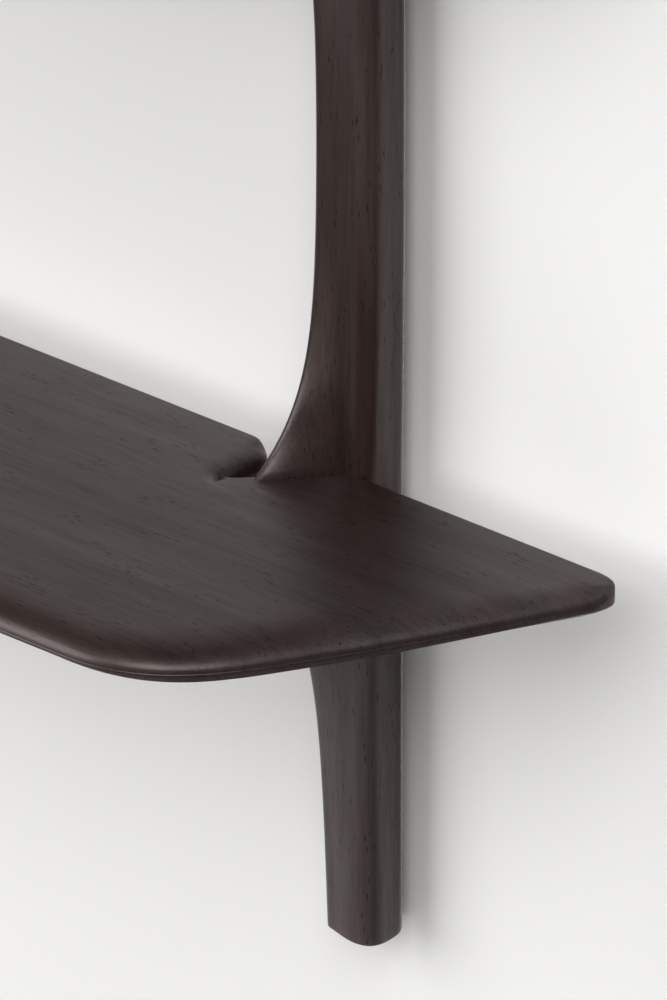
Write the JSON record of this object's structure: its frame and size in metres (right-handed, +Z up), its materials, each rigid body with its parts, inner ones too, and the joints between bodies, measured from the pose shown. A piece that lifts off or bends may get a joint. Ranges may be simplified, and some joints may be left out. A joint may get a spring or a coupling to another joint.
{
  "type": "wall shelf unit",
  "caption": "Dark wooden wall shelf unit: rounded boards let into slim carved posts that swell forward beside each board, hung on wall screws by keyhole plates.",
  "frame": {"origin": "on the wall plane, at the centre of the rectangle of the four wall screws", "axes": "+Z up, +Y into the wall, +X to the right as seen by someone who faces the shelf; the furniture stands at negative Y"},
  "size_m": [0.9096, 0.2644, 0.856],
  "materials": {
    "board_wood": "satin clear varnish on dark brown stained hardwood",
    "post_wood": "satin clear varnish on dark red brown stained hardwood",
    "zinc_steel": "bright zinc plate",
    "plate_steel": "yellowed zinc plate",
    "insert_brass": "turned brass",
    "pad_rubber": "soft translucent grey rubber"
  },
  "bodies": {
    "wall_fixings": {"wall_screw_lower_left": "zinc_steel", "wall_screw_lower_right": "zinc_steel", "wall_screw_upper_left": "zinc_steel", "wall_screw_upper_right": "zinc_steel"},
    "shelf_unit": {"shelf_lower": "board_wood", "shelf_upper": "board_wood", "post_left": "post_wood", "post_right": "post_wood", "bolt_lower_left_outer": "zinc_steel", "washer_lower_left_outer": "zinc_steel", "insert_lower_left_outer": "insert_brass", "bolt_lower_left_inner": "zinc_steel", "washer_lower_left_inner": "zinc_steel", "insert_lower_left_inner": "insert_brass", "hanger_plate_lower_left": "plate_steel", "plate_screw_lower_left_top": "zinc_steel", "plate_screw_lower_left_bottom": "zinc_steel", "bumper_pad_lower_left": "pad_rubber", "bolt_lower_right_outer": "zinc_steel", "washer_lower_right_outer": "zinc_steel", "insert_lower_right_outer": "insert_brass", "bolt_lower_right_inner": "zinc_steel", "washer_lower_right_inner": "zinc_steel", "insert_lower_right_inner": "insert_brass", "hanger_plate_lower_right": "plate_steel", "plate_screw_lower_right_top": "zinc_steel", "plate_screw_lower_right_bottom": "zinc_steel", "bumper_pad_lower_right": "pad_rubber", "bolt_upper_left_outer": "zinc_steel", "washer_upper_left_outer": "zinc_steel", "insert_upper_left_outer": "insert_brass", "bolt_upper_left_inner": "zinc_steel", "washer_upper_left_inner": "zinc_steel", "insert_upper_left_inner": "insert_brass", "hanger_plate_upper_left": "plate_steel", "plate_screw_upper_left_top": "zinc_steel", "plate_screw_upper_left_bottom": "zinc_steel", "bumper_pad_upper_left": "pad_rubber", "bolt_upper_right_outer": "zinc_steel", "washer_upper_right_outer": "zinc_steel", "insert_upper_right_outer": "insert_brass", "bolt_upper_right_inner": "zinc_steel", "washer_upper_right_inner": "zinc_steel", "insert_upper_right_inner": "insert_brass", "hanger_plate_upper_right": "plate_steel", "plate_screw_upper_right_top": "zinc_steel", "plate_screw_upper_right_bottom": "zinc_steel", "bumper_pad_upper_right": "pad_rubber"}
  },
  "joints": [
    {"name": "lift_off", "type": "slide", "parent": "wall_fixings", "child": "shelf_unit", "axis": [0, 0, 1], "range_m": [0, 0.012]}
  ]
}
